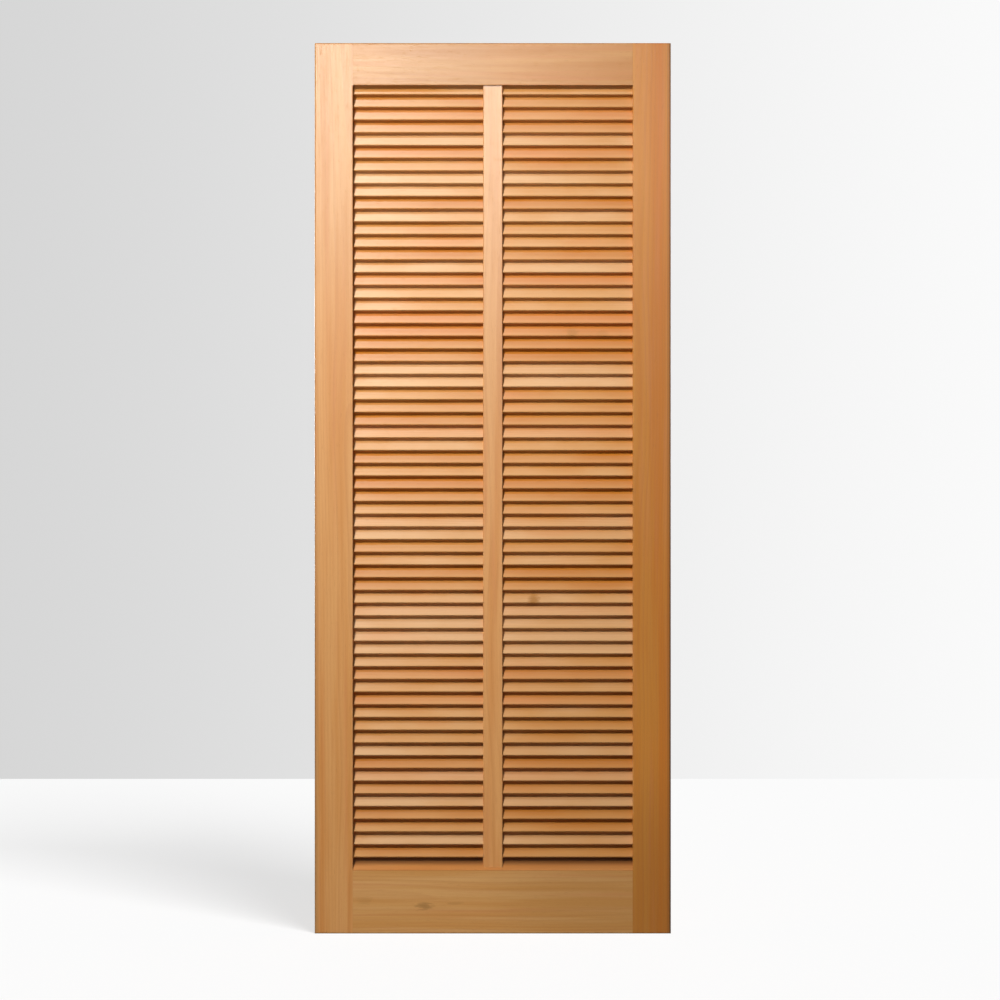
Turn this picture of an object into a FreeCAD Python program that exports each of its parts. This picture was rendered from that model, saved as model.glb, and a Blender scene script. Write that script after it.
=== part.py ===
import FreeCAD, Part
import math
import os

# Louvred door leaf. Two stiles and two rails are joined by dowels into a frame. Full-width slats sit
# in slanted housings in the stiles, and a notched stay on each face holds them in the middle.
# Millimetres, +X to the right seen from the front, +Y to the back, +Z up.
# The origin is on the bottom edge, in the middle of the width and of the thickness.

# Frame
LEAF_WIDTH = 840
LEAF_HEIGHT = 2100
LEAF_THICKNESS = 35
STILE_WIDTH = 90
TOP_RAIL_HEIGHT = 100  # at the front face
BOTTOM_RAIL_HEIGHT = 150  # at the front face
TOP_RAIL_SLOPE = 40  # degrees by which the top rail's inner edge climbs towards the back
BOTTOM_RAIL_SLOPE = 50  # and the bottom rail's, so that its back hides the gap under the lowest slat
EDGE_ROUND = 3  # on the leaf's outer edges
ARRIS_CHAMFER = 1  # on the edges around the slats

# Slats
SLAT_WIDTH = 37
SLAT_THICKNESS = 6
SLAT_LEAN = 25  # degrees from upright, with the lower edge to the front
SLAT_PITCH = 30
SLAT_EDGE_ROUND = 2
FIRST_SLAT_RISE = 30  # from the bottom rail's front edge to the lowest slat's front edge
TOP_SLAT_GAP = 1.5  # the least that the top slat stays below the top rail
HOUSING_DEPTH = 10
HOUSING_CLEARANCE = 0.1  # around a slat, in a housing and in a stay's notch
SLAT_END_GAP = 0.5  # between a slat's end and the bottom of its housing

# Stays
STAY_WIDTH = 46
STAY_SKIN = 2  # wood that covers the slats' edges
STAY_GRIP = 7  # depth of the notches over the slats' edges
STAY_TENON_WIDTH = 30
STAY_TENON_THICKNESS = 5
STAY_TENON_LENGTH = 10
TENON_CLEARANCE = 0.1
TENON_END_GAP = 1

# Dowels
DOWEL_DIAMETER = 10
DOWEL_LENGTH = 80
DOWEL_CHAMFER = 1
DOWEL_CLEARANCE = 0.05  # radial
DOWEL_END_GAP = 1
TOP_RAIL_DOWELS = 2
BOTTOM_RAIL_DOWELS = 3

# Places that follow from the sizes above
FRONT = -LEAF_THICKNESS / 2
BACK = LEAF_THICKNESS / 2
RAIL_LENGTH = LEAF_WIDTH - 2 * STILE_WIDTH
STILE_INNER_X = RAIL_LENGTH / 2
TOP_RAIL_Z = LEAF_HEIGHT - TOP_RAIL_HEIGHT

SLAT_SIN = math.sin(math.radians(SLAT_LEAN))
SLAT_COS = math.cos(math.radians(SLAT_LEAN))
SLAT_DEPTH = SLAT_WIDTH * SLAT_SIN + SLAT_THICKNESS * SLAT_COS
SLAT_LENGTH = RAIL_LENGTH + 2 * (HOUSING_DEPTH - SLAT_END_GAP)
SLAT_EDGE_TO_CENTRE = (SLAT_WIDTH * SLAT_COS - SLAT_THICKNESS * SLAT_SIN) / 2
FIRST_SLAT_Z = BOTTOM_RAIL_HEIGHT + FIRST_SLAT_RISE + SLAT_EDGE_TO_CENTRE

STAY_THICKNESS = STAY_SKIN + STAY_GRIP
STAY_OUTER_Y = SLAT_DEPTH / 2 + STAY_SKIN  # from the leaf's middle plane to a stay's face

ALONG_X = FreeCAD.Vector(1, 0, 0)
SAME_PLACE = 1e-6  # two places this close are one


def same(a, b):
    return abs(a - b) < SAME_PLACE


def centred_box(length, width, height, centre):
    corner = FreeCAD.Vector(length / 2, width / 2, height / 2)
    return Part.makeBox(length, width, height, centre - corner)


def prism(corners, along):
    return Part.Face(Part.makePolygon(corners + corners[:1])).extrude(along)


def edges_where(solid, chosen):
    """The straight edges whose two ends both pass the test."""
    return [edge for edge in solid.Edges if all(chosen(vertex.Point) for vertex in edge.Vertexes)]


def top_edge_z(y):
    """Height at depth y of the top rail's inner edge."""
    return TOP_RAIL_Z + (y - FRONT) * math.tan(math.radians(TOP_RAIL_SLOPE))


def bottom_edge_z(y):
    """Height at depth y of the bottom rail's inner edge."""
    return BOTTOM_RAIL_HEIGHT + (y - FRONT) * math.tan(math.radians(BOTTOM_RAIL_SLOPE))


def slat_heights():
    """Heights of the slats' centres: as many as the pitch allows below the top rail's sloping edge."""
    highest_corner_y = (SLAT_WIDTH * SLAT_SIN - SLAT_THICKNESS * SLAT_COS) / 2
    centre_to_top = (SLAT_WIDTH * SLAT_COS + SLAT_THICKNESS * SLAT_SIN) / 2
    last_z = top_edge_z(highest_corner_y) - TOP_SLAT_GAP - centre_to_top
    count = int((last_z - FIRST_SLAT_Z) / SLAT_PITCH) + 1
    return [FIRST_SLAT_Z + index * SLAT_PITCH for index in range(count)]


def slat(length, x, z, clearance=0):
    """A slat, or with a clearance the cutter for its housing or notch."""
    width = SLAT_WIDTH + 2 * clearance
    thickness = SLAT_THICKNESS + 2 * clearance
    bar = centred_box(length, width, thickness, FreeCAD.Vector())
    long_edges = [edge for edge in bar.Edges if same(edge.Length, length)]
    bar = bar.makeFillet(SLAT_EDGE_ROUND + clearance, long_edges)
    bar.rotate(FreeCAD.Vector(), ALONG_X, 90 - SLAT_LEAN)
    bar.translate(FreeCAD.Vector(x, 0, z))
    return bar


def slat_cutters(length, x):
    return [slat(length, x, z, HOUSING_CLEARANCE) for z in slat_heights()]


def dowel_heights(low_z, high_z, count):
    """Dowels spread evenly over a rail's height."""
    step = (high_z - low_z) / (count + 1)
    return [low_z + step * number for number in range(1, count + 1)]


def top_dowel_heights():
    return dowel_heights(top_edge_z(0), LEAF_HEIGHT, TOP_RAIL_DOWELS)


def bottom_dowel_heights():
    return dowel_heights(0, bottom_edge_z(0), BOTTOM_RAIL_DOWELS)


def dowel_hole(side, z):
    """A cutter across the joint of a stile and a rail: it bores both."""
    length = DOWEL_LENGTH + 2 * DOWEL_END_GAP
    start = FreeCAD.Vector(side * STILE_INNER_X - length / 2, 0, z)
    return Part.makeCylinder(DOWEL_DIAMETER / 2 + DOWEL_CLEARANCE, length, start, ALONG_X)


def dowel_holes(heights):
    return [dowel_hole(side, z) for side in (-1, 1) for z in heights]


def dowel(side, z):
    """A peg, half in the stile and half in the rail."""
    start = FreeCAD.Vector(side * STILE_INNER_X - DOWEL_LENGTH / 2, 0, z)
    peg = Part.makeCylinder(DOWEL_DIAMETER / 2, DOWEL_LENGTH, start, ALONG_X)
    rims = [edge for edge in peg.Edges if isinstance(edge.Curve, Part.Circle)]
    return peg.makeChamfer(DOWEL_CHAMFER, rims)


def stile_arris(side, face_y, inwards):
    """Cutter for the chamfer along a stile's inner edge, which stops at the rails."""
    low_z = bottom_edge_z(face_y)
    corners = [
        FreeCAD.Vector(side * STILE_INNER_X, face_y, low_z),
        FreeCAD.Vector(side * (STILE_INNER_X + ARRIS_CHAMFER), face_y, low_z),
        FreeCAD.Vector(side * STILE_INNER_X, face_y + inwards * ARRIS_CHAMFER, low_z),
    ]
    return prism(corners, FreeCAD.Vector(0, 0, top_edge_z(face_y) - low_z))


def stile(side):
    """An upright of the frame, housed for the slats' ends and bored for the dowels."""
    middle = FreeCAD.Vector(side * (LEAF_WIDTH - STILE_WIDTH) / 2, 0, LEAF_HEIGHT / 2)
    blank = centred_box(STILE_WIDTH, LEAF_THICKNESS, LEAF_HEIGHT, middle)
    outline = []
    for face_y in (FRONT, BACK):
        outline += edges_where(blank, lambda p: same(p.y, face_y) and same(p.x, side * LEAF_WIDTH / 2))
        outline += edges_where(blank, lambda p: same(p.y, face_y) and same(p.z, 0))
        outline += edges_where(blank, lambda p: same(p.y, face_y) and same(p.z, LEAF_HEIGHT))
    blank = blank.makeFillet(EDGE_ROUND, outline)
    cutters = slat_cutters(2 * HOUSING_DEPTH, side * STILE_INNER_X)
    cutters += dowel_holes(top_dowel_heights() + bottom_dowel_heights())
    cutters.append(stile_arris(side, FRONT, 1))
    cutters.append(stile_arris(side, BACK, -1))
    return blank.cut(cutters)


def rail(outer_z, inner_edge_z):
    """A crosspiece in profile: its outer edge is square and its inner edge climbs towards the back."""
    corners = [
        FreeCAD.Vector(-STILE_INNER_X, FRONT, outer_z),
        FreeCAD.Vector(-STILE_INNER_X, BACK, outer_z),
        FreeCAD.Vector(-STILE_INNER_X, BACK, inner_edge_z(BACK)),
        FreeCAD.Vector(-STILE_INNER_X, FRONT, inner_edge_z(FRONT)),
    ]
    blank = prism(corners, ALONG_X * RAIL_LENGTH)
    for face_y in (FRONT, BACK):
        outer = edges_where(blank, lambda p: same(p.y, face_y) and same(p.z, outer_z))
        blank = blank.makeFillet(EDGE_ROUND, outer)
        arris = edges_where(blank, lambda p: same(p.y, face_y) and same(p.z, inner_edge_z(face_y)))
        blank = blank.makeChamfer(ARRIS_CHAMFER, arris)
    return blank


def stay_y(side):
    """Depth of the middle of a stay's thickness."""
    return side * (STAY_OUTER_Y - STAY_THICKNESS / 2)


def stay_tenon(side, rail_edge_z, direction, clearance=0, end_gap=0):
    """A stay's stub tenon, or with clearances its mortise. Direction is -1 downwards and 1 upwards."""
    reach = STAY_TENON_LENGTH + end_gap
    root = STAY_THICKNESS  # buries the tenon's inner end in the stay, behind the sloping shoulder
    z = rail_edge_z(stay_y(side)) + direction * (reach - root) / 2
    width = STAY_TENON_WIDTH + 2 * clearance
    thickness = STAY_TENON_THICKNESS + 2 * clearance
    return centred_box(width, thickness, reach + root, FreeCAD.Vector(0, stay_y(side), z))


def stay_mortises(rail_edge_z, direction):
    return [stay_tenon(side, rail_edge_z, direction, TENON_CLEARANCE, TENON_END_GAP) for side in (-1, 1)]


def top_rail():
    cutters = dowel_holes(top_dowel_heights()) + stay_mortises(top_edge_z, 1)
    return rail(LEAF_HEIGHT, top_edge_z).cut(cutters)


def bottom_rail():
    cutters = dowel_holes(bottom_dowel_heights()) + stay_mortises(bottom_edge_z, -1)
    return rail(0, bottom_edge_z).cut(cutters)


def stay(side):
    """The upright in the middle of one face: a comb whose notches fit over the slats' edges."""
    front_y = stay_y(side) - STAY_THICKNESS / 2
    back_y = stay_y(side) + STAY_THICKNESS / 2
    corners = [
        FreeCAD.Vector(-STAY_WIDTH / 2, front_y, bottom_edge_z(front_y)),
        FreeCAD.Vector(-STAY_WIDTH / 2, back_y, bottom_edge_z(back_y)),
        FreeCAD.Vector(-STAY_WIDTH / 2, back_y, top_edge_z(back_y)),
        FreeCAD.Vector(-STAY_WIDTH / 2, front_y, top_edge_z(front_y)),
    ]
    blank = prism(corners, ALONG_X * STAY_WIDTH)
    arrises = []
    for edge_x in (-STAY_WIDTH / 2, STAY_WIDTH / 2):
        arrises += edges_where(blank, lambda p: same(p.y, side * STAY_OUTER_Y) and same(p.x, edge_x))
    blank = blank.makeChamfer(ARRIS_CHAMFER, arrises)
    tenons = [stay_tenon(side, bottom_edge_z, -1), stay_tenon(side, top_edge_z, 1)]
    return blank.fuse(tenons).removeSplitter().cut(slat_cutters(2 * STAY_WIDTH, 0))


def slat_nodes():
    """The slats from the bottom up, in pairs. The top slat is by itself, as is one left over below it."""
    slats = [slat(SLAT_LENGTH, 0, z) for z in slat_heights()]
    below = slats[:-1]
    nodes = {}
    for first in range(0, len(below) - 1, 2):
        nodes[f"slat_pair_{first // 2 + 1:02d}"] = below[first : first + 2]
    if len(below) % 2:
        nodes["second_slat"] = below[-1:]
    nodes["top_slat"] = slats[-1:]
    return nodes


def frame_nodes():
    return {
        "left_stile": stile(-1).Solids,
        "right_stile": stile(1).Solids,
        "top_rail": top_rail().Solids,
        "bottom_rail": bottom_rail().Solids,
        "front_stay": stay(-1).Solids,
        "back_stay": stay(1).Solids,
        "top_left_dowels": [dowel(-1, z) for z in top_dowel_heights()],
        "top_right_dowels": [dowel(1, z) for z in top_dowel_heights()],
        "bottom_left_dowels": [dowel(-1, z) for z in bottom_dowel_heights()],
        "bottom_right_dowels": [dowel(1, z) for z in bottom_dowel_heights()],
    }


os.makedirs("parts", exist_ok=True)
for node, solids in {**frame_nodes(), **slat_nodes()}.items():
    shape = solids[0] if len(solids) == 1 else Part.makeCompound(solids)
    shape.exportStep(f"parts/{node}.step")
    print(f"{node}: {len(solids)} solids, {shape.Volume / 1000:.1f} cm3")
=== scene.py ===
import math

import bpy
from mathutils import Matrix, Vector


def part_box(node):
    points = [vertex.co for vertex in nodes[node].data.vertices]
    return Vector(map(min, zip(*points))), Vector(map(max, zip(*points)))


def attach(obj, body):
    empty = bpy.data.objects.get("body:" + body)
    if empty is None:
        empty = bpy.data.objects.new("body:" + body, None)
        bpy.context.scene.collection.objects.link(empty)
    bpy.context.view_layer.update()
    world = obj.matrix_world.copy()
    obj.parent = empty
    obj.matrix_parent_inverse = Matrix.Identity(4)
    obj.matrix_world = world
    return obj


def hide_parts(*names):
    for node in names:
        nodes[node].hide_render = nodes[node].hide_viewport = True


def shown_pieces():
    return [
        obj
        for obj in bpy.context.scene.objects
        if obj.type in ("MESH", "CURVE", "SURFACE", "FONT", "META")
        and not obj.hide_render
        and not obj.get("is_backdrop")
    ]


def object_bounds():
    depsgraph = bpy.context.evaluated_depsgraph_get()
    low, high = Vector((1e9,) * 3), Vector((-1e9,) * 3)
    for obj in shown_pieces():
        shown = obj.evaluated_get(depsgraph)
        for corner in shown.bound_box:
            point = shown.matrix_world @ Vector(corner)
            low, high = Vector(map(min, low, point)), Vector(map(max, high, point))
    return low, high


# louvred door leaf: the joinery comes from the frame, the slats are laid out here in Geometry Nodes
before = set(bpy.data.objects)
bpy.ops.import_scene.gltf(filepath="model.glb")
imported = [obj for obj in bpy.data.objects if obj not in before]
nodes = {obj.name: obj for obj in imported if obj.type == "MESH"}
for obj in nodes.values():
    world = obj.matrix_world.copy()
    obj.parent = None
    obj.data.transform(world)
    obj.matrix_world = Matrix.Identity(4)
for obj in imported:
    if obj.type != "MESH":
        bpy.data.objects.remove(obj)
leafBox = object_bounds()
scene = bpy.context.scene
mm = 1000.0             # in a metre: wood grain is worked out in mm
print("frame:", len(nodes), "nodes")


class Wire:
    # a socket in a node tree, so that shader sums read as plain expressions

    def __init__(self, tree, socket=None):
        self.tree, self.socket = tree, socket

    def node(self, kind, settings=None, inputs=None, output=0):
        made = self.tree.nodes.new(kind)
        for name, value in (settings or {}).items():
            if name == "stops":  # colour ramp: (place, colour) pairs
                stops = made.color_ramp.elements
                while len(stops) < len(value):
                    stops.new(1.0)
                for stop, (place, colour) in zip(stops, value):
                    stop.position, stop.color = place, colour
            else:
                setattr(made, name, value)
        for name, value in (inputs or {}).items():
            if isinstance(value, Wire):
                self.tree.links.new(value.socket, made.inputs[name])
            else:
                made.inputs[name].default_value = value
        return Wire(self.tree, made.outputs[output])

    def math(self, operation, first, second=0.0):
        return self.node("ShaderNodeMath", {"operation": operation}, {0: first, 1: second})

    def __add__(self, other):
        return self.math("ADD", self, other)

    def __radd__(self, other):
        return self.math("ADD", other, self)

    def __sub__(self, other):
        return self.math("SUBTRACT", self, other)

    def __rsub__(self, other):
        return self.math("SUBTRACT", other, self)

    def __mul__(self, other):
        return self.math("MULTIPLY", self, other)

    def __rmul__(self, other):
        return self.math("MULTIPLY", other, self)

    def __truediv__(self, other):
        return self.math("DIVIDE", self, other)

    def root(self):
        return self.math("SQRT", self)

    def fract(self):
        return self.math("FRACT", self)

    def floor(self):
        return self.math("FLOOR", self)

    def size(self):
        return self.math("ABSOLUTE", self)

    def most(self, other):
        return self.math("MAXIMUM", self, other)

    def step(self, low, high):  # smooth 0 to 1 between two values
        inputs = {"Value": self, "From Min": low, "From Max": high}
        return self.node("ShaderNodeMapRange", {"interpolation_type": "SMOOTHSTEP"}, inputs)

    def xyz(self):
        return [self.node("ShaderNodeSeparateXYZ", inputs={0: self}, output=axis) for axis in range(3)]

    def vector(self, x, y, z):
        return self.node("ShaderNodeCombineXYZ", inputs={0: x, 1: y, 2: z})

    def noise(self, x, y, z, detail, rough=0.5):
        inputs = {"Vector": self.vector(x, y, z), "Scale": 1.0, "Detail": detail, "Roughness": rough}
        return self.node("ShaderNodeTexNoise", inputs=inputs)

    def layer(self, look, place, shift):  # noise drawn out along the fibres, as a wood's look says
        fine, slow = look["grain"]
        across, through, along = place
        u = across * fine + shift[0]
        v = through * fine + shift[1]
        t = along * slow + shift[2]
        noise = self.noise(u, v, t, look["detail"], look.get("noiseRough", 0.5))
        return noise.step(*look["shows"]) if "shows" in look else noise

    def mix(self, share, first, second):  # two colours, by the colour sockets of a Mix node
        return self.node("ShaderNodeMix", {"data_type": "RGBA"}, {0: share, 6: first, 7: second}, output=2)

    def lay(self, colour, mask, look):  # a look's colour over another, as deep as the look says
        return self.mix(mask * look["depth"], colour, look["colour"])

    def spot(self, u, v):  # 1 in the middle of a round patch, 0 from a distance of 1
        return 1 - (u * u + v * v).step(0.0, 1.0)


def paint(*levels):
    # a colour as picked on screen, 0 to 255, made linear
    shares = [level / 255 for level in levels]
    return (*[((s + 0.055) / 1.055) ** 2.4 if s > 0.04045 else s / 12.92 for s in shares], 1.0)


def newMaterial(name):
    material = bpy.data.materials.new(name)
    material.use_nodes = True
    return material, Wire(material.node_tree), material.node_tree.nodes["Principled BSDF"]


bumpStrength = 0.35


def finishWood(w, shader, colour, roughness, height, depth):
    bump = w.node("ShaderNodeBump", inputs={"Strength": bumpStrength, "Distance": depth, "Height": height})
    for wire, socket in ((colour, "Base Color"), (roughness, "Roughness"), (bump, "Normal")):
        w.tree.links.new(wire.socket, shader.inputs[socket])


# varnished wood of the frame, cut from growth rings round a pith line beside each board; lengths in mm
# grain: noise per mm across the fibres and along them, shows: the stretch of it that turns from 0 to 1
# tints: that stretch where only the colour uses it, depth: share of the colour that is laid over
# rough and bump: how much it changes the roughness and the height
frameWood = {
    "rings": {
        "colour": paint(174, 100, 44),      # late wood, the dark line of each year
        "spacing": 5.2,
        "rise": (0.35, 0.9),                # part of a year in which the line comes up
        "fall": (0.93, 1.0),                # and in which it ends
        "even": 0.3,                        # share of the line that every year has
        "bump": 0.25,
        "grain": (0.006, 0.0016), "detail": 1.0,
        "sway": 26.0,                       # how far the rings wander along a board
        "swayApart": 7.0,                   # shift that keeps the two ways of wandering unlike
    },
    "flame": {"grain": (0.045, 0.0017), "detail": 2.0, "shows": (0.32, 0.68)},
    "rose": {
        "colour": paint(208, 130, 78), "depth": 0.3,
        "grain": (0.08, 0.0026), "detail": 2.0, "shows": (0.5, 0.78),
    },
    "fibre": {
        "colour": paint(188, 114, 52), "depth": 0.35, "rough": 0.16, "bump": 0.6,
        "grain": (0.9, 0.011), "detail": 3.0, "noiseRough": 0.6, "tints": (0.45, 0.8),
    },
    "pore": {
        "colour": paint(120, 64, 26), "depth": 0.22, "rough": 0.12, "bump": 0.3,
        "grain": (1.9, 0.055), "detail": 1.0, "shows": (0.66, 0.74),
    },
    "edge": {                               # long edges, rubbed pale in places and grubby in others
        "colour": paint(226, 176, 116), "depth": 0.3, "rough": 0.12,
        "grain": (0.1, 0.02), "detail": 3.0, "shows": (0.48, 0.66),
        "width": 4.0,
        "jointFade": 2.0,                   # over which the wear ends at a joint
        "sideFade": 1.0,
    },
    "tips": {"from": 0.6, "full": 0.1, "depth": 0.35, "rough": 0.25},   # end grain, from a board's ends
    "streak": {                             # resinous lines along the grain
        "colour": paint(205, 114, 18),
        "sway": 4.0,
        "side": (0.2, 1.0),                 # share of its half width where it fades
        "least": 0.4,                       # what shows where the fibres are pale
    },
    "mark": {                               # blind knots and stains; the marks as wide as a board are painted shade
        "colour": paint(114, 78, 22),
        "grain": (0.16, 0.05), "detail": 3.0, "noiseRough": 0.6,
        "raggedLength": 40.0,               # longer marks have smoother outlines
        "raggedAlong": 1.5,
        "raggedFibre": 1.2,
    },
    "edgeShade": {                              # painted shade along the outer edges
        "colour": paint(84, 54, 20),
        "bands": [(10.0, 8.0, 0.3), (6.0, 1.5, 0.7)],   # from the edge: start, full, and share
        "reach": (1.5, 4.0),                # from the front face, where it fades
    },
    "sill": {                               # the bottom rail's slope, lift: height over its front edge
        "colour": paint(206, 122, 62), "depth": 0.4,
        "starts": (0.5, 4.0),               # lift, and distance from the back face
        "stops": (0.5, 1.5),
        "shade": paint(66, 32, 10),         # painted shade where the slope runs in under the slats, and over the slope
        "slopeShade": 0.14,
        "slopeShadeRight": 0.13,                # more of it towards the right
        "rightward": (-220.0, 240.0),
        "under": (5.5, 15.5),               # from the front face
        "underDepth": 0.75,
        "foot": (-6.0, -3.0),               # lift at which the rail's edge stops looking worn
        "footDepth": 0.8,
        "brow": (-3.0, -1.2),               # lift of the line of painted shade along the front edge, which dulls the highlight it catches
        "browReach": (3.0, 5.0),            # from the front face
        "browDepth": 0.5,
        "browRough": 0.45,
    },
    "roughness": 0.36,
    "bumpDepth": 0.00025,                   # m
}

# pith: mm from the board's middle to the ring centre, across the face and through the board
# warmSide: how much warmer the wood gets towards one edge
# marks: (along, across, length, width, depth) in mm, streaks: (across, half width, depth) in mm
# jointed: the edge (+1 or -1 across) that meets the rails, and the stretch of the board where it is free
# darkEdge: the edge that gets painted shade, and how much at the bottom and at the top
# sill: height in mm where the rail's slope starts
boards = {
    "left_stile": {
        "along": "z", "pith": (46.0, 60.0), "tilt": 0.010, "seed": 3.0, "ringDepth": 0.22,
        "pale": paint(216, 157, 92), "warm": paint(206, 139, 69), "warmSide": -0.1,
        # this broad mark is painted shade on the upper part
        "marks": [(800.0, 0.0, 420.0, 300.0, 0.07)],
        "jointed": (1, -900.0, 950.0), "darkEdge": (-1, 0.5, 0.04),
    },
    "right_stile": {
        "along": "z", "pith": (-52.0, 48.0), "tilt": -0.012, "seed": 11.0, "ringDepth": 0.26,
        "pale": paint(206, 134, 45), "warm": paint(201, 119, 27), "warmSide": 0.5,
        # both marks are painted shade: over the bottom end and over the middle
        "marks": [(-1060.0, 0.0, 460.0, 150.0, 0.36), (-60.0, 0.0, 900.0, 300.0, 0.18)],
        "streaks": [(20.5, 5.5, 0.45)],
        "jointed": (-1, -900.0, 950.0), "darkEdge": (1, 0.92, 0.68),
    },
    "top_rail": {
        "along": "x", "pith": (14.0, 74.0), "tilt": 0.022, "seed": 23.0, "ringDepth": 0.24,
        "pale": paint(202, 144, 76), "warm": paint(191, 126, 54), "warmSide": 0.0,
        # this broad mark is painted shade
        "marks": [(-130.0, 0.0, 170.0, 300.0, 0.09)],
    },
    "bottom_rail": {
        "along": "x", "pith": (-8.0, 66.0), "tilt": -0.020, "seed": 37.0, "ringDepth": 0.24,
        "pale": paint(213, 161, 98), "warm": paint(204, 146, 77), "warmSide": 0.0,
        "marks": [
            (-162.0, -31.0, 25.0, 11.0, 0.45), (-302.0, -19.0, 24.0, 14.0, 0.12),
            # the last mark is painted shade over the right end
            (-90.0, -24.0, 22.0, 4.0, 0.18), (380.0, -6.0, 440.0, 220.0, 0.22),
        ],
        "sill": 150.0,
    },
    "front_stay": {
        "along": "z", "pith": (30.0, 80.0), "tilt": 0.006, "seed": 53.0, "ringDepth": 0.2,
        "pale": paint(219, 157, 91), "warm": paint(209, 140, 70), "warmSide": 0.0,
        # this broad mark is painted shade on the upper part
        "marks": [(520.0, 0.0, 640.0, 300.0, 0.09)],
    },
    "back_stay": {
        "along": "z", "pith": (-34.0, -76.0), "tilt": 0.008, "seed": 71.0, "ringDepth": 0.24,
        "pale": paint(214, 150, 86), "warm": paint(203, 132, 64), "warmSide": 0.0,
        "marks": [],
    },
}


def boardMaterial(node, board):
    wood, seed = frameWood, board["seed"]
    rings, edge, tips, sill = wood["rings"], wood["edge"], wood["tips"], wood["sill"]
    low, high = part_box(node)
    middle, half = (low + high) / 2, (high - low) * (mm / 2)
    material, w, shader = newMaterial(node.replace("_", " ") + " wood")
    place = w.node("ShaderNodeTexCoord", output="Object")
    inMm = {"Vector": place, "Location": -mm * middle, "Scale": (mm, mm, mm)}
    x, y, z = w.node("ShaderNodeMapping", inputs=inMm).xyz()
    if board["along"] == "z":
        run, across, halfRun, halfAcross = z, x, half.z, half.x
    else:
        run, across, halfRun, halfAcross = x, z, half.x, half.z
    inBoard = (across, y, run)
    fromFront, fromBack = y + half.y, half.y - y

    # rings: distance from a pith line that leans and wanders a little
    swayA = w.layer(rings, inBoard, (seed, 0.0, 0.0)) - 0.5
    swayB = w.layer(rings, inBoard, (0.0, seed, rings["swayApart"])) - 0.5
    du = across - board["pith"][0] + run * board["tilt"] + swayA * rings["sway"]
    dv = y - board["pith"][1] + swayB * rings["sway"]
    years = (du * du + dv * dv).root() / rings["spacing"]
    year = years.fract()
    late = year.step(*rings["rise"]) * (1 - year.step(*rings["fall"]))
    oneYear = {"W": years.floor() + seed}
    yearTone = w.node("ShaderNodeTexWhiteNoise", {"noise_dimensions": "1D"}, oneYear)
    lines = late * (rings["even"] + yearTone * (1 - rings["even"]))

    # broad streaks of tone, fine fibres and pores
    flame = w.layer(wood["flame"], inBoard, (seed, 0.0, seed))
    flame = flame + across * (board["warmSide"] / halfAcross)
    rose = w.layer(wood["rose"], inBoard, (0.0, seed, -seed))
    fibre = w.layer(wood["fibre"], inBoard, (0.0, seed, 0.0))
    pore = w.layer(wood["pore"], inBoard, (seed, 0.0, 0.0))
    colour = w.mix(flame, board["pale"], board["warm"])
    colour = w.lay(colour, rose, wood["rose"])
    colour = w.mix(lines * board["ringDepth"], colour, rings["colour"])
    colour = w.lay(colour, fibre.step(*wood["fibre"]["tints"]), wood["fibre"])
    colour = w.lay(colour, pore, wood["pore"])

    streak = wood["streak"]
    for acrossAt, halfWidth, depth in board.get("streaks", []):
        off = (across - acrossAt + swayA * streak["sway"]) / halfWidth
        band = 1 - off.size().step(*streak["side"])
        colour = w.mix(band * (streak["least"] + fibre) * depth, colour, streak["colour"])
    mark = wood["mark"]
    cloud = w.layer(mark, inBoard, (0.0, seed, 0.0)) - 0.5
    for alongAt, acrossAt, length, width, depth in board["marks"]:
        ragged = min(1.0, mark["raggedLength"] / length)
        offRun = (run - alongAt) / length + cloud * (mark["raggedAlong"] * ragged)
        offAcross = (across - acrossAt) / width + cloud * ragged
        offAcross = offAcross + (fibre - 0.5) * (mark["raggedFibre"] * ragged)
        colour = w.mix(w.spot(offRun, offAcross) * depth, colour, mark["colour"])

    # rubbed and grubby long edges, where no joint or slope takes their place
    toEdge = (halfAcross - across.size()).most(half.y - y.size())
    arris = 1 - toEdge.step(0.0, edge["width"])
    if "jointed" in board:
        side, freeFrom, freeTo = board["jointed"]
        fade = edge["jointFade"]
        free = run.step(freeFrom, freeFrom + fade) * (1 - run.step(freeTo - fade, freeTo))
        arris = arris * (1 - (across * side).step(0.0, edge["sideFade"]) * (1 - free))
    # on the bottom rail: the slope's own tone, painted shade over it and where it runs in under the slats,
    # and painted shade along its front edge
    if "sill" in board:
        lift = z - (board["sill"] - mm * middle.z)
        arris = arris * (1 - lift.step(*sill["foot"]) * sill["footDepth"])
        brow = lift.step(*sill["brow"]) * (1 - fromFront.step(*sill["browReach"]))
        slope = lift.step(*sill["starts"]) * fromBack.step(*sill["stops"])
        slopeShade = sill["slopeShade"] + run.step(*sill["rightward"]) * sill["slopeShadeRight"]
        under = fromFront.step(*sill["under"]) * sill["underDepth"]
        colour = w.lay(colour, slope, sill)
        colour = w.mix(slope * slopeShade, colour, sill["shade"])
        colour = w.mix(slope * under, colour, sill["shade"])
        colour = w.mix(brow * (1 - slope) * sill["browDepth"], colour, rings["colour"])
    rubbed = w.layer(edge, inBoard, (0.0, seed, 0.0))
    colour = w.mix(arris * (1 - rubbed) * edge["depth"], colour, rings["colour"])
    colour = w.lay(colour, arris * rubbed, edge)
    # painted shade along an outer edge
    if "darkEdge" in board:
        edgeShade = wood["edgeShade"]
        side, atBottom, atTop = board["darkEdge"]
        toSide = halfAcross - across * side
        shadedBand = sum((1 - toSide.step(full, start)) * share for start, full, share in edgeShade["bands"])
        depth = atBottom + run.step(-halfRun, halfRun) * (atTop - atBottom)
        onFront = 1 - fromFront.step(*edgeShade["reach"])
        colour = w.mix(shadedBand * depth * onFront, colour, edgeShade["colour"])

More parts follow.
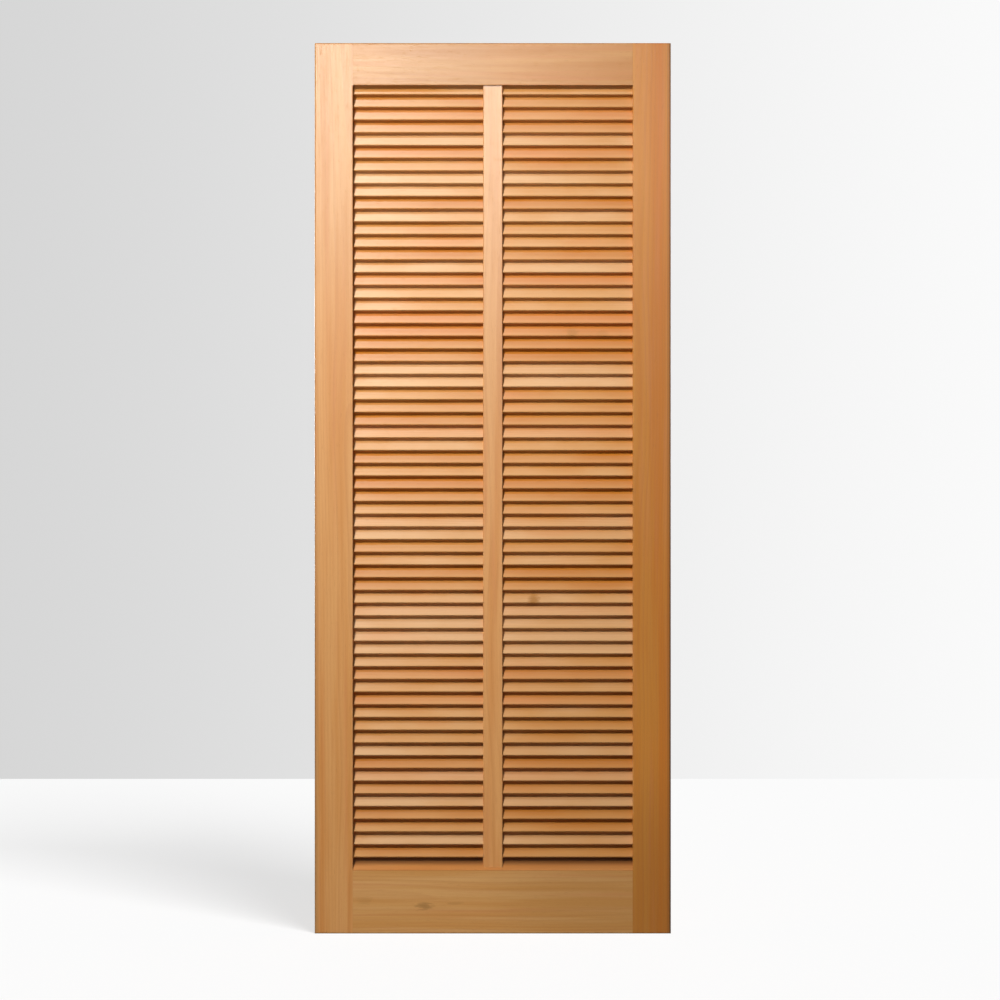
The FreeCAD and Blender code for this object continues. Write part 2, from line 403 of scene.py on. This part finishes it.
    # dark ends of the grain, then the surface
    ends = run.size().step(halfRun - tips["from"], halfRun - tips["full"])
    colour = w.mix(ends * tips["depth"], colour, wood["pore"]["colour"])
    roughness = wood["roughness"] + (fibre - 0.5) * wood["fibre"]["rough"] + pore * wood["pore"]["rough"]
    roughness = roughness + arris * edge["rough"] + ends * tips["rough"]
    if "sill" in board:
        roughness = roughness + brow * sill["browRough"]
    height = fibre * wood["fibre"]["bump"] + late * rings["bump"] - pore * wood["pore"]["bump"]
    finishWood(w, shader, colour, roughness, height, wood["bumpDepth"])
    return material


for node, board in boards.items():
    nodes[node].data.materials.clear()
    nodes[node].data.materials.append(boardMaterial(node, board))
print("frame wood:", len(boards), "boards")

# bare beech pegs inside the corner joints
dowelWood = {
    "pale": paint(226, 192, 146),
    "fleck": paint(186, 140, 92),
    "grain": (1.6, 0.16),       # per mm across the fibres and along them
    "detail": 2.0,
    "shows": (0.5, 0.72),
    "roughness": 0.6,
    "fleckRough": 0.1,
    "bumpDepth": 0.0002,
}


def dowelMaterial():
    wood = dowelWood
    material, w, shader = newMaterial("dowel beech")
    place = w.node("ShaderNodeTexCoord", output="Object")
    x, y, z = w.node("ShaderNodeMapping", inputs={"Vector": place, "Scale": (mm, mm, mm)}).xyz()
    fine, slow = wood["grain"]
    fleck = w.noise(x * slow, y * fine, z * fine, wood["detail"]).step(*wood["shows"])
    colour = w.mix(fleck, wood["pale"], wood["fleck"])
    roughness = wood["roughness"] + fleck * wood["fleckRough"]
    finishWood(w, shader, colour, roughness, fleck, wood["bumpDepth"])
    return material


beech = dowelMaterial()
pegs = [node for node in nodes if node.endswith("_dowels")]
for node in pegs:
    nodes[node].data.materials.clear()
    nodes[node].data.materials.append(beech)
print("dowels:", len(pegs), "sets")

# slats: one rounded bar, repeated up the leaf
slats = {
    "width": 0.037,
    "thickness": 0.006,
    "edgeRound": 0.002,
    "roundSteps": 5,
    "lean": 25.0,           # degrees from upright, lower edge to the front
    "pitch": 0.030,
    "seed": 4,
}

# wood of the slats: lengths on a slat in mm, places on the leaf in m, other words as for the frame
# apart: how far apart in the noise the slats lie
slatWood = {
    "tones": [
        (0.00, paint(216, 170, 121)),   # straw
        (0.50, paint(203, 143, 77)),    # peach
        (1.00, paint(192, 118, 39)),    # orange
    ],
    "cutApart": (900.0, 300.0),         # each slat is cut from another place
    "rings": {
        "colour": paint(188, 116, 56), "depth": 0.06,
        "deeper": 0.16,                 # at most, from slat to slat, as for wider and pithDeeper
        "spacing": 2.6,
        "wider": 2.2,
        "rise": (0.3, 0.9),
        "fall": (0.93, 1.0),
        "pithAcross": 150.0,
        "pithThrough": 18.0,
        "pithDeeper": 70.0,
        "tilt": 0.05,
        "sway": 16.0,
        "bump": 0.25,
        "grain": (0.012, 0.0022), "detail": 1.0, "apart": 40.0,
    },
    "drift": {                          # of tone, along a slat
        "depth": 1.25,
        "grain": (0.012, 0.0045), "detail": 3.0, "apart": 60.0,
    },
    "rose": {
        "colour": paint(212, 132, 74), "depth": 0.35,
        "grain": (0.02, 0.004), "detail": 1.0, "shows": (0.55, 0.8), "apart": 60.0, "along": 9.0,
        "rosySlats": (0.8, 1.0),        # a few slats are rosy all over
        "rosyDepth": 0.4,
    },
    "fibre": {
        "depth": 0.2, "rough": 0.16, "bump": 0.6,
        "grain": (0.75, 0.009), "detail": 3.0, "noiseRough": 0.6, "tints": (0.5, 0.8),
    },
    "pore": {
        "colour": paint(130, 74, 32), "depth": 0.25, "rough": 0.12, "bump": 0.7,
        "grain": (1.7, 0.05), "detail": 1.0, "shows": (0.66, 0.74),
    },
    "rubAndLight": {                            # lower edges paler: rubbed, and painted light where the slat above shades the face less
        "colour": paint(228, 182, 124),
        "reach": (1.0, 14.0),
        "least": 0.1,
        "fibre": 0.25,
    },
    "arris": {"width": 2.5, "rough": 0.08},
    "housing": {"before": 1.0, "inside": 0.5, "depth": 0.4},    # shade where a slat enters the stile
    "paintedLessSheen": {"right": (-0.1, 0.2), "up": (0.2, 1.4), "depth": 0.06},      # more orange towards the upper right, painted to stand for less sheen there
    "shadeLowRight": {                           # painted shade, deeper low down and to the right
        "colour": paint(150, 96, 24), "depth": 0.34,
        "up": (0.0, 1.9),
        "right": (-0.2, 0.3),
        "left": 0.4,                    # share that is there on the left too
        "shine": 0.07,
    },
    "gapShade": {"across": (-6.0, 1.0), "up": (0.2, 1.15), "depth": 0.28},      # painted shade on the face under the next slat, low on the leaf
    "knots": [(0.187, 1.417, 0.42), (0.259, 1.412, 0.22), (0.0975, 0.787, 0.8)],    # x, z, depth
    "knot": {
        "colour": paint(160, 104, 28),
        "halfWidth": 0.018,
        "halfHeight": 0.016,
        "streakWidth": 0.085,
        "streakHeight": 0.011,
        "streakDepth": 0.4,
        "cloud": (70.0, 190.0),         # ragged outline, per m across and up
        "detail": 3.0,
        "noiseRough": 0.6,
        "taller": 1.4,                  # more ragged upwards
    },
    "roughness": 0.37,
    "bumpDepth": 0.0002,
}


def slatMaterial():
    wood, halfWidth = slatWood, slats["width"] * mm / 2
    rings, drift, rose, fibre, pore = (wood[name] for name in ("rings", "drift", "rose", "fibre", "pore"))
    material, w, shader = newMaterial("slat wood")
    place = w.node("ShaderNodeAttribute", {"attribute_name": "slatPlace"}, output="Vector")
    own = w.node("ShaderNodeAttribute", {"attribute_name": "slatOwn"}, output="Vector")
    inMm = w.node("ShaderNodeVectorMath", {"operation": "SCALE"}, {0: place, "Scale": mm})
    run, across, through = inMm.xyz()
    ownA, ownB, ownC = own.xyz()
    away = ownA * wood["cutApart"][0] + ownB * wood["cutApart"][1]
    onFace, inSlat = (across, 0.0, run), (across, through, run)

    # rings round a pith line of the slat's own
    sway = w.layer(rings, onFace, (away, ownC * rings["apart"], 0.0)) - 0.5
    du = across - (ownB - 0.5) * rings["pithAcross"] + run * (ownC - 0.5) * rings["tilt"]
    du = du + sway * rings["sway"]
    dv = through - rings["pithThrough"] - ownC * rings["pithDeeper"]
    years = (du * du + dv * dv).root() / (rings["spacing"] + ownA * rings["wider"])
    year = years.fract()
    late = year.step(*rings["rise"]) * (1 - year.step(*rings["fall"]))

    # tone of the slat, fine fibres and pores
    x, y, z = w.node("ShaderNodeTexCoord", output="Object").xyz()
    wander = w.layer(drift, onFace, (away, ownB * drift["apart"], 0.0)) - 0.5
    paintedLessSheen = x.step(*wood["paintedLessSheen"]["right"]) * z.step(*wood["paintedLessSheen"]["up"])
    tone = ownA + wander * drift["depth"] + paintedLessSheen * wood["paintedLessSheen"]["depth"]
    rosy = w.layer(rose, onFace, (away, ownC * rose["apart"], rose["along"])) * rose["depth"]
    rosy = rosy + ownC.step(*rose["rosySlats"]) * rose["rosyDepth"]
    fibres = w.layer(fibre, inSlat, (away, 0.0, 0.0))
    pores = w.layer(pore, inSlat, (away, 0.0, 0.0))
    colour = w.node("ShaderNodeValToRGB", {"stops": wood["tones"]}, {"Fac": tone})
    colour = w.mix(rosy, colour, rose["colour"])
    colour = w.mix(late * (rings["depth"] + ownB * rings["deeper"]), colour, rings["colour"])
    colour = w.mix(fibres.step(*fibre["tints"]) * fibre["depth"], colour, rings["colour"])
    colour = w.lay(colour, pores, pore)

    # wear and painted light on the lower edges, shade at the ends, painted shade low on the right and under
    # the next slat
    rubAndLight, housing, lowShadeLook, gapShade = wood["rubAndLight"], wood["housing"], wood["shadeLowRight"], wood["gapShade"]
    lowEdge = 1 - (across + halfWidth).step(*rubAndLight["reach"])
    colour = w.mix(lowEdge * (rubAndLight["least"] + fibres * rubAndLight["fibre"]), colour, rubAndLight["colour"])
    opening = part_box("right_stile")[0].x * mm
    end = run.size().step(opening - housing["before"], opening + housing["inside"])
    colour = w.mix(end * housing["depth"], colour, pore["colour"])
    shadeLowRight = (1 - z.step(*lowShadeLook["up"])) * (lowShadeLook["left"] + x.step(*lowShadeLook["right"]) * (1 - lowShadeLook["left"]))
    colour = w.lay(colour, shadeLowRight, lowShadeLook)
    gapShaded = across.step(*gapShade["across"]) * (1 - z.step(*gapShade["up"]))
    colour = w.mix(gapShaded * gapShade["depth"], colour, pore["colour"])

    # knots
    knot = wood["knot"]
    wide, tall = knot["cloud"]
    cloud = w.noise(x * wide, y * wide, z * tall, knot["detail"], knot["noiseRough"]) - 0.5
    for knotX, knotZ, depth in wood["knots"]:
        offX, offZ = x - knotX, z - knotZ
        core = w.spot(offX / knot["halfWidth"] + cloud, offZ / knot["halfHeight"] + cloud * knot["taller"])
        streak = w.spot(offX / knot["streakWidth"], offZ / knot["streakHeight"] + cloud) * fibres
        colour = w.mix((core + streak * knot["streakDepth"]) * depth, colour, knot["colour"])

    arris = 1 - (halfWidth - across.size()).step(0.0, wood["arris"]["width"])
    roughness = wood["roughness"] + (fibres - 0.5) * fibre["rough"] + pores * pore["rough"]
    roughness = roughness + arris * wood["arris"]["rough"] - shadeLowRight * lowShadeLook["shine"]
    height = fibres * fibre["bump"] + late * rings["bump"] - pores * pore["bump"]
    finishWood(w, shader, colour, roughness, height, wood["bumpDepth"])
    return material


def slatTree():
    tree = bpy.data.node_groups.new("slat bank", "GeometryNodeTree")
    for name, kind in (
        ("Slat Length", "NodeSocketFloat"),
        ("Slat Width", "NodeSocketFloat"),
        ("Slat Thickness", "NodeSocketFloat"),
        ("Edge Round", "NodeSocketFloat"),
        ("Round Steps", "NodeSocketInt"),
        ("Lean", "NodeSocketFloat"),
        ("Pitch", "NodeSocketFloat"),
        ("Count", "NodeSocketInt"),
        ("Lowest Centre", "NodeSocketFloat"),
        ("Seed", "NodeSocketInt"),
        ("Wood", "NodeSocketMaterial"),
    ):
        tree.interface.new_socket(name, in_out="INPUT", socket_type=kind)
    tree.interface.new_socket("Slats", in_out="OUTPUT", socket_type="NodeSocketGeometry")

    w = Wire(tree)
    given = tree.nodes.new("NodeGroupInput")
    size = {socket.name: Wire(tree, socket) for socket in given.outputs if socket.name}

    # one slat along X, with its own coordinates kept for the grain
    section = {"Width": size["Slat Width"], "Height": size["Slat Thickness"]}
    bar = w.node("GeometryNodeCurvePrimitiveQuadrilateral", inputs=section)
    rounding = {
        "Curve": bar,
        "Count": size["Round Steps"],
        "Radius": size["Edge Round"],
        "Limit Radius": True,
    }
    bar = w.node("GeometryNodeFilletCurve", {"mode": "POLY"}, rounding)
    half = size["Slat Length"] * 0.5
    ends = {"Start": w.vector(0 - half, 0.0, 0.0), "End": w.vector(half, 0.0, 0.0)}
    line = w.node("GeometryNodeCurvePrimitiveLine", inputs=ends)
    sweep = {"Curve": line, "Profile Curve": bar, "Fill Caps": True}
    slat = w.node("GeometryNodeCurveToMesh", inputs=sweep)
    slat = w.node("GeometryNodeSetShadeSmooth", inputs={"Geometry": slat, "Shade Smooth": False})
    kept = {"Geometry": slat, "Name": "slatPlace", "Value": w.node("GeometryNodeInputPosition")}
    perPoint = {"data_type": "FLOAT_VECTOR", "domain": "POINT"}
    slat = w.node("GeometryNodeStoreNamedAttribute", perPoint, kept)

    # up the leaf at the pitch, each with three numbers of its own
    start, rise = w.vector(0.0, 0.0, size["Lowest Centre"]), w.vector(0.0, 0.0, size["Pitch"])
    ladder = {"Count": size["Count"], "Start Location": start, "Offset": rise}
    points = w.node("GeometryNodeMeshLine", {"mode": "OFFSET"}, ladder)
    turn = w.node("FunctionNodeEulerToRotation", inputs={0: w.vector(size["Lean"], 0.0, 0.0)})
    rungs = {"Points": points, "Instance": slat, "Rotation": turn}
    bank = w.node("GeometryNodeInstanceOnPoints", inputs=rungs)
    own = w.node("FunctionNodeRandomValue", {"data_type": "FLOAT_VECTOR"}, {"Seed": size["Seed"]})
    kept = {"Geometry": bank, "Name": "slatOwn", "Value": own}
    perSlat = {"data_type": "FLOAT_VECTOR", "domain": "INSTANCE"}
    bank = w.node("GeometryNodeStoreNamedAttribute", perSlat, kept)
    bank = w.node("GeometryNodeRealizeInstances", inputs={"Geometry": bank})
    bank = w.node("GeometryNodeSetMaterial", inputs={"Geometry": bank, "Material": size["Wood"]})
    tree.links.new(bank.socket, tree.nodes.new("NodeGroupOutput").inputs["Slats"])
    return tree


def layOutSlats():
    slatNodes = sorted(name for name in nodes if name.startswith("slat_pair") or name == "top_slat")
    boxes = [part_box(name) for name in slatNodes]
    low = Vector([min(box[0][axis] for box in boxes) for axis in range(3)])
    high = Vector([max(box[1][axis] for box in boxes) for axis in range(3)])
    topLow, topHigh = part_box("top_slat")
    halfHeight = (topHigh.z - topLow.z) / 2
    lowest = low.z + halfHeight
    count = round((high.z - halfHeight - lowest) / slats["pitch"]) + 1

    piece = bpy.data.objects.new("slats", bpy.data.meshes.new("slats"))
    scene.collection.objects.link(piece)
    layout = piece.modifiers.new("slat bank", "NODES")
    layout.node_group = slatTree()
    values = {
        "Slat Length": high.x - low.x,
        "Slat Width": slats["width"],
        "Slat Thickness": slats["thickness"],
        "Edge Round": slats["edgeRound"],
        "Round Steps": slats["roundSteps"],
        "Lean": math.radians(90 - slats["lean"]),
        "Pitch": slats["pitch"],
        "Count": count,
        "Lowest Centre": lowest,
        "Seed": slats["seed"],
        "Wood": slatMaterial(),
    }
    for item in layout.node_group.interface.items_tree:
        if item.in_out == "INPUT":
            layout[item.identifier] = values[item.name]
    settled = piece.evaluated_get(bpy.context.evaluated_depsgraph_get())
    mesh = bpy.data.meshes.new_from_object(settled)
    piece.modifiers.clear()
    piece.data = mesh
    mesh.name = "slats"
    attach(piece, "root")
    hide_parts(*slatNodes)
    print("slats:", count, "with", len(mesh.polygons), "faces")
    return piece


slatPiece = layOutSlats()

# pale floor that ends far behind the leaf, with the pale surround above it
room = {
    "floorFront": -14.0,
    "floorBack": 4.42,
    "floorSide": 16.0,
    "floorShade": (0.42, 0.41, 0.40, 1.0),  # as the varnish mirrors it
    "floorWhite": 0.945,
    "floorLit": 0.25,       # share of the floor's white that lamps and shadows change
    "floorRoughness": 0.9,
    "floorShine": 0.1,
    "surroundLeft": 0.66,
    "surroundRight": 0.97,
    "surroundTurn": 0.2,    # how far to either side the change from left to right goes
    "ambient": 0.11,
}


def addFloor():
    mesh = bpy.data.meshes.new("floor")
    side, front, back = room["floorSide"], room["floorFront"], room["floorBack"]
    corners = [(-side, front, 0), (side, front, 0), (side, back, 0), (-side, back, 0)]
    mesh.from_pydata(corners, [], [(0, 1, 2, 3)])
    floor = bpy.data.objects.new("floor", mesh)
    scene.collection.objects.link(floor)
    material, w, shader = newMaterial("pale floor")
    shader.inputs["Roughness"].default_value = room["floorRoughness"]
    shader.inputs["Specular IOR Level"].default_value = room["floorShine"]
    seen = w.node("ShaderNodeLightPath", output="Is Camera Ray")
    white = (room["floorWhite"],) * 3 + (1.0,)
    w.tree.links.new(w.mix(seen, room["floorShade"], white).socket, shader.inputs["Base Color"])
    glow = w.node("ShaderNodeEmission", inputs={"Color": white, "Strength": 1.0})
    surface = Wire(w.tree, shader.outputs[0])
    both = w.node("ShaderNodeMixShader", inputs={0: seen * (1 - room["floorLit"]), 1: surface, 2: glow})
    w.tree.links.new(both.socket, w.tree.nodes["Material Output"].inputs["Surface"])
    mesh.materials.append(material)
    floor.visible_diffuse = False   # no light comes up from it
    floor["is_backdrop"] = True
    return floor


def addSurround():
    world = bpy.data.worlds.new("pale surround")
    scene.world = world
    world.use_nodes = True
    w = Wire(world.node_tree)
    background = world.node_tree.nodes["Background"]
    sideways = w.node("ShaderNodeTexCoord", output="Generated").xyz()[0]
    seen = w.node("ShaderNodeLightPath", output="Is Camera Ray")
    seen = seen.most(w.node("ShaderNodeLightPath", output="Is Transmission Ray"))
    left, right, turn = room["surroundLeft"], room["surroundRight"], room["surroundTurn"]
    wall = left + sideways.step(-turn, turn) * (right - left)
    level = room["ambient"] + seen * (wall - room["ambient"])
    background.inputs["Color"].default_value = (1, 1, 1, 1)
    w.tree.links.new(level.socket, background.inputs["Strength"])


floor = addFloor()
addSurround()

# lamps: a near soft key from the upper left, a low fill that reaches in between the upper slats, cards that
# only show in the varnish, two lamps behind, one of them far to the right, and a sun for the floor alone
# size: radius of a spot, width of a round lamp, or a sun's angle in degrees
lamps = {
    "key": {
        "kind": "SPOT", "place": (-1.82, -3.42, 4.15), "aim": (0.85, 0.0, -0.8),
        "size": 0.55, "cone": 71.7, "power": 1213.0, "colour": (1.0, 0.98, 0.95),
        "lights": "leaf", "shows": "diffuse",
    },
    "upper fill": {
        "kind": "SPOT", "place": (-1.6, -5.5, 0.9), "aim": (-0.75, 0.0, 3.04),
        "size": 0.8, "cone": 44.8, "power": 404.0, "colour": (1.0, 0.98, 0.95),
        "lights": "leaf", "shows": "diffuse",
    },
    "frame card": {
        "kind": "AREA", "place": (-0.7, -4.6, 2.75), "aim": (-0.45, 0.0, 2.1),
        "size": 0.6, "power": 158.0, "colour": (1.0, 0.93, 0.84),
        "lights": "frame", "shows": "glossy",
    },
    "stay card": {
        "kind": "AREA", "place": (0.0, -4.6, 2.72), "aim": (0.0, 0.0, 2.1),
        "size": 0.6, "power": 89.0, "colour": (1.0, 0.9, 0.78),
        "lights": "stay", "shows": "glossy",
    },
    "slat card": {
        "kind": "AREA", "place": (-1.58, -2.83, 6.5), "aim": (-0.2, 0.0, 1.8),
        "size": 0.6, "power": 470.0, "colour": (1.0, 0.92, 0.82),
        "lights": "slats", "shows": "glossy",
    },
    "back left": {
        "kind": "AREA", "place": (-3.2, 4.6, 1.6), "aim": (0.0, 0.0, 1.1),
        "size": 1.8, "power": 190.0, "colour": (1.0, 0.98, 0.95),
        "lights": "leaf", "shows": "both",
    },
    "back right": {
        "kind": "AREA", "place": (4.6, 2.0, 1.8), "aim": (0.0, 0.0, 1.1),
        "size": 1.8, "power": 170.0, "colour": (1.0, 0.98, 0.95),
        "lights": "leaf", "shows": "both",
    },
    "floor sun": {
        "kind": "SUN", "place": (2.4, -5.0, 3.2), "aim": (0.0, 0.0, 0.0),
        "size": 28.0, "power": 6.3, "colour": (1.0, 1.0, 1.0),
        "lights": "floor", "shows": "both",
    },
}
lit = {
    "leaf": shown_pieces(),
    "frame": [nodes[node] for node in boards],
    "stay": [nodes["front_stay"]],
    "slats": [slatPiece],
    "floor": [floor],
}
receivers = {}
for name, members in lit.items():
    receivers[name] = bpy.data.collections.new("lit " + name)
    for member in members:
        receivers[name].objects.link(member)


def addLamp(name, lamp):
    data = bpy.data.lights.new(name, lamp["kind"])
    data.energy, data.color = lamp["power"], lamp["colour"]
    if lamp["kind"] == "SPOT":
        data.shadow_soft_size = lamp["size"]
        data.spot_size = math.radians(lamp["cone"])
        data.spot_blend = 1.0
    elif lamp["kind"] == "SUN":
        data.angle = math.radians(lamp["size"])
    else:
        data.shape, data.size = "DISK", lamp["size"]
    made = bpy.data.objects.new(name, data)
    made.location = lamp["place"]
    made.rotation_euler = (Vector(lamp["aim"]) - made.location).to_track_quat("-Z", "Y").to_euler()
    made.light_linking.receiver_collection = receivers[lamp["lights"]]
    made.visible_diffuse = lamp["shows"] != "glossy"
    made.visible_glossy = lamp["shows"] != "diffuse"
    scene.collection.objects.link(made)


for name, lamp in lamps.items():
    addLamp(name, lamp)

# camera: level, square to the leaf; width is what it takes in at the leaf's face
view = {"distance": 8.0, "across": 0.017, "height": 1.0224, "width": 2.358, "sensor": 36.0, "reach": 100.0}


def addCamera():
    data = bpy.data.cameras.new("camera")
    data.sensor_width = view["sensor"]
    data.lens = view["sensor"] * view["distance"] / view["width"]
    data.clip_end = view["reach"]
    made = bpy.data.objects.new("camera", data)
    made.location = (view["across"], leafBox[0].y - view["distance"], view["height"])
    made.rotation_euler = (math.radians(90), 0, 0)
    scene.collection.objects.link(made)
    scene.camera = made


addCamera()
scene.view_settings.view_transform = "Standard"
print("stage: floor, surround,", len(lamps), "lamps and the camera")
